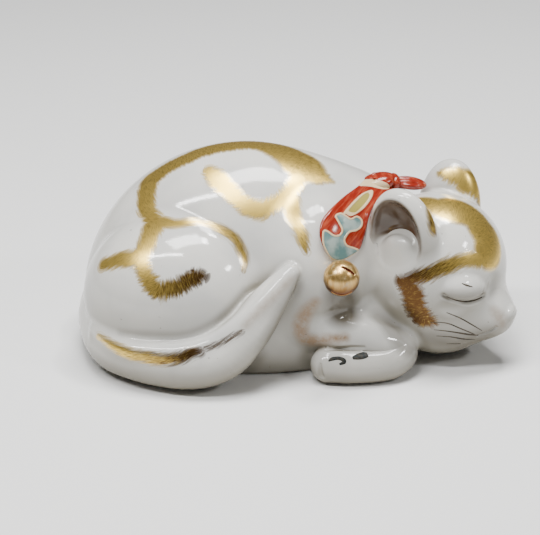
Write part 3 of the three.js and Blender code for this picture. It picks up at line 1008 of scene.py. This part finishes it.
# Outlines on the front painter's plane: the bib, its leaf, its framed panel and the cream bow patch
BIB = [(27.8, 25.8), (23.4, 22.6), (18.7, 18.1), (16.3, 14.6), (15.8, 10.7), (16.6, 7.5), (17.9, 5),
       (19.5, 3), (21.8, 2.1), (24.3, 2.7), (26.9, 4.3), (28.8, 5.9), (29.8, 8.5), (30.7, 11.7),
       (31.7, 15.8), (33.3, 19.7), (36.5, 22.9), (39.5, 25), (40.5, 28), (36, 30.5), (31, 28.6)]
LEAF = [(21.1, 16.5), (22.7, 17.3), (24.3, 16.5), (25.9, 15.5), (27.8, 16.3), (29.3, 15.2), (29.3, 13.3),
        (27.8, 12), (25.6, 11.5), (24.6, 10.4), (23.8, 8.8), (24.6, 7), (26.9, 6.2), (28.5, 5.3),
        (26.6, 4), (24.3, 2.7), (21.8, 2.1), (19.5, 3), (17.9, 5.6), (17, 8.2), (17.1, 11.4),
        (18.2, 11.7), (20.5, 10.2), (22.4, 10.4), (23.2, 12), (22.2, 14.2)]
PANEL_FRAME = [(23.6, 17.7), (28.4, 22.9), (31.8, 24.7), (33, 24.4), (32.4, 22), (29.7, 18.6),
               (26.3, 16.5), (24.4, 17.1)]
PANEL = [(25.6, 18.9), (29.8, 23.2), (31.8, 23.8), (31.2, 21.6), (27.8, 17.9), (25.6, 17.8)]
BOW_PATCH = [(28.5, 26.3), (30, 28.1), (33.9, 28.1), (37.6, 26.9), (38.2, 25.3), (35.8, 25.1), (31.8, 26)]


BIB_BACK = 8.0  # the bib ends before this y
BAND_EDGES = (-4.5, 3.5)  # the band's edges along the neck's axis
BAND_FRONT, BAND_LOW = 6.0, 20.0  # the band lies behind this y and above this height
CLOTH_RISE, CLOTH_ROOT = 1.5, 1.0  # how far the cloth stands out of the clay and sinks in
NO_MOTIF = 9.0  # the distance from an outline where there is none


def shoulder_blade(points):
    return ellipsoid(points, *BUMPS[1]["seat"])


def cloth(points):
    """The neckerchief: a bib between the ear and the bell, and a band behind the neck."""
    base = join(join(torso(points), head(points), 3), shoulder_blade(points), 5.0)
    bib = np.maximum(outline(FRONT.on_plane(points), BIB), points[:, 1] - BIB_BACK)
    axial = (points - NECK_RING) @ NECK_AXIS
    band = np.maximum(BAND_EDGES[0] - axial, axial - BAND_EDGES[1])
    band = np.maximum(np.maximum(band, BAND_FRONT - points[:, 1]), BAND_LOW - points[:, 2])
    sheet = meet(base - CLOTH_RISE, -base - CLOTH_ROOT, 0.5)
    return meet(sheet, join(bib, band, 1.5), 0.8)


def weave_attribute(points):
    """Coordinates that stretch the brush streaks along the cloth."""
    plane = FRONT.on_plane(points)
    along, across = plane @ np.array([0.6, 0.8]), plane @ np.array([0.8, -0.6])
    return np.stack([along * 0.12, across * 0.9, points[:, 1] * 0.1], axis=1)


def neckerchief(material):
    piece, points = field_piece("neckerchief", "_cloth", cloth, 4, FINE_STEP, material)
    plane = FRONT.on_plane(points)
    away = np.where(points[:, 1] > BAND_FRONT, NO_MOTIF, -np.inf)
    motif = np.stack([outline(plane, edge) for edge in (LEAF, PANEL_FRAME, PANEL)], axis=1)
    motif[:, 1] = np.minimum(motif[:, 1], outline(plane, BOW_PATCH))
    set_attribute(piece, "motif", np.maximum(motif, away[:, None]))
    set_attribute(piece, "weave", weave_attribute(points))


def bow_part(name, field, material):
    piece, points = field_piece(name, "_cloth", field, 5, FINE_STEP, material)
    motif = np.full((len(points), 3), NO_MOTIF)
    if name == "bow_loop_near":
        motif[:, 1] = outline(FRONT.on_plane(points), BOW_PATCH)
    set_attribute(piece, "motif", motif)
    set_attribute(piece, "weave", weave_attribute(points)[:, [1, 0, 2]] * np.array([0.4, 8.0, 1.0]))


KNOT = np.array([30.3, 3.0, 53.2])


def knot(points):
    return ellipsoid(points, KNOT, (1.9, 3.4, 2.4), turned(14))


def bow_loop(points, direction):
    """A loop with two folds; direction is -1 for the near loop and 1 for the far one."""
    radii = (5.8, 4.2, 2.8) if direction < 0 else (5.6, 3.4, 1.9)
    place = KNOT + np.array([direction * 5.0, direction * 1.2, 0.2 if direction < 0 else -1.2])
    field = ellipsoid(points, place, radii, turned(8, direction * 10))
    for side, rise in ((-2.4, 1.6), (0.2, 2.6)):
        start = KNOT + np.array([0, side, 1.0])
        end = place + np.array([direction * 2.5, side, rise if direction < 0 else rise - 0.8])
        field = carve(field, limb(points, [(*start, 0.5), (*end, 0.35)], 2), 0.6)
    return field


def bell_field(points):
    field = ellipsoid(points, BELL_PLACE, (BELL_RADIUS, BELL_RADIUS, BELL_RADIUS))
    for groove in BELL_GROOVES:
        field = carve(field, limb(points, groove, 1, 6.0), 0.3)
    return field


def on_bell(azimuth, elevation, radius):
    """A groove station on the bell."""
    return (*(BELL_PLACE + heading(azimuth, elevation) * BELL_RADIUS), radius)


BELL_GROOVES = [
    spline([on_bell(2, 62, 0.3), on_bell(28, 52, 0.45), on_bell(50, 30, 0.35)], 4),
    spline([on_bell(-40, -34, 0.35), on_bell(-15, -42, 0.55), on_bell(15, -42, 0.55),
            on_bell(38, -32, 0.35)], 4),
]


def bell():
    piece, points = field_piece("bell", "_gilt", bell_field, 1.5, FINE_STEP * 0.8, bell_gilt())
    sunk = BELL_RADIUS - norm(points - BELL_PLACE, axis=1)
    # groove depth, for the painted shade in the grooves
    set_attribute(piece, "groove", np.clip(sunk / 0.3, 0, 1))


def stem_field(points):
    root = BELL_PLACE + np.array([0.5, 12.0, -4.0])
    middle = BELL_PLACE * 0.5 + root * 0.5
    return limb(points, [(*BELL_PLACE, 1.8), (*middle, 1.9), (*root, 2.8)], 3)


def bell_stem(material):
    piece, points = field_piece("bell_stem", "_clay", stem_field, 4, FINE_STEP * 1.5,
                                material)
    set_attribute(piece, "gilt", np.tile([NO_GILT, 0, 0], (len(points), 1)))


SLAB_THICKNESS = 3.0
VENT_PLACE = np.array([-16.0, 4.0])
VENT_RADIUS = 3.5


def slab_field(points):
    outer = np.maximum(torso(points) + 1.8, -head(points) + 0.5)
    field = meet(outer, np.maximum(-points[:, 2], points[:, 2] - SLAB_THICKNESS), 0.6)
    vent = norm(points[:, :2] - VENT_PLACE, axis=1) - VENT_RADIUS
    return carve(field, vent, 0.6)


# -------- the studio

def floor():
    mesh = bpy.data.meshes.new("studio_floor")
    mesh.from_pydata([(-3, -3, 0), (3, -3, 0), (3, 3, 0), (-3, 3, 0)], [], [(0, 1, 2, 3)])
    mesh.materials.append(floor_paper())
    plane = added("studio_floor", mesh)


def world(strength):
    sky = bpy.data.worlds.new("studio")
    sky.use_nodes = True
    background = sky.node_tree.nodes["Background"]
    background.inputs["Color"].default_value = (1, 1, 1, 1)
    background.inputs["Strength"].default_value = strength
    bpy.context.scene.world = sky


def strip_light(name, start, end, width, power, distance=0.7):
    """A lamp aimed at the figure that reaches from one heading to another."""
    start, end = Vector(heading(*start)) * distance, Vector(heading(*end)) * distance
    light = bpy.data.lights.new(name, "AREA")
    light.shape = "RECTANGLE"
    light.size, light.size_y = (end - start).length, width
    light.energy = power
    out = (start + end).normalized()
    side = (end - start).normalized()
    holder = added(name, light)
    turn = Matrix((side, out.cross(side), out)).transposed().to_4x4()
    holder.matrix_world = Matrix.Translation((start + end) / 2 + Vector((0, 0, 0.03))) @ turn


def camera():
    lens = bpy.data.cameras.new("camera")
    lens.sensor_width = 36.0
    lens.lens = lens.sensor_width * VIEW_DISTANCE / VIEW_WIDTH
    holder = added("camera", lens)
    holder.location = to_frame(FRONT.eye)
    holder.rotation_mode = "QUATERNION"
    holder.rotation_quaternion = (-Vector(FRONT.back)).to_track_quat("-Z", "Y")
    bpy.context.scene.camera = holder


camera()
glaze = porcelain()
for name in ("body_shell", "right_hind_leg", "tail", "left_foreleg"):
    clay_skin(name, SKIN_STEP, glaze)
for name in ("right_ear", "left_ear"):
    clay_skin(name, FACE_STEP, glaze)
face_enamel = dark_enamel("brown_black_enamel", 900, BROWN_BLACK, BROWN_BLACK_THIN, 0.25)
clay_skin("head_shell", FACE_STEP, glaze, FACE_LINES, face_enamel)
paw_enamel = dark_enamel("blue_black_enamel", 1300, BLUE_BLACK, BLUE_BLACK_THIN, 0.2)
clay_skin("right_foreleg", FACE_STEP, glaze, PAW_MARKS, paw_enamel)
enamels = neckerchief_enamel()
neckerchief(enamels)
bow_part("bow_knot", knot, enamels)
bow_part("bow_loop_near", lambda points: bow_loop(points, -1), enamels)
bow_part("bow_loop_far", lambda points: bow_loop(points, 1), enamels)
bell()
bell_stem(glaze)
field_piece("base_slab", "_clay", slab_field, 1.5, SKIN_STEP, bisque())

floor()
world(0.08)
strip_light("strip", (-68, 45), (-5, 67), 0.035, 3.6)
strip_light("overhead", (-60, 75), (120, 75), 0.2, 6.6)
strip_light("rear_lamp", (90, 72), (125, 72), 0.05, 1.5)
strip_light("right_lamp", (58, 37), (68, 39), 0.05, 1.0)
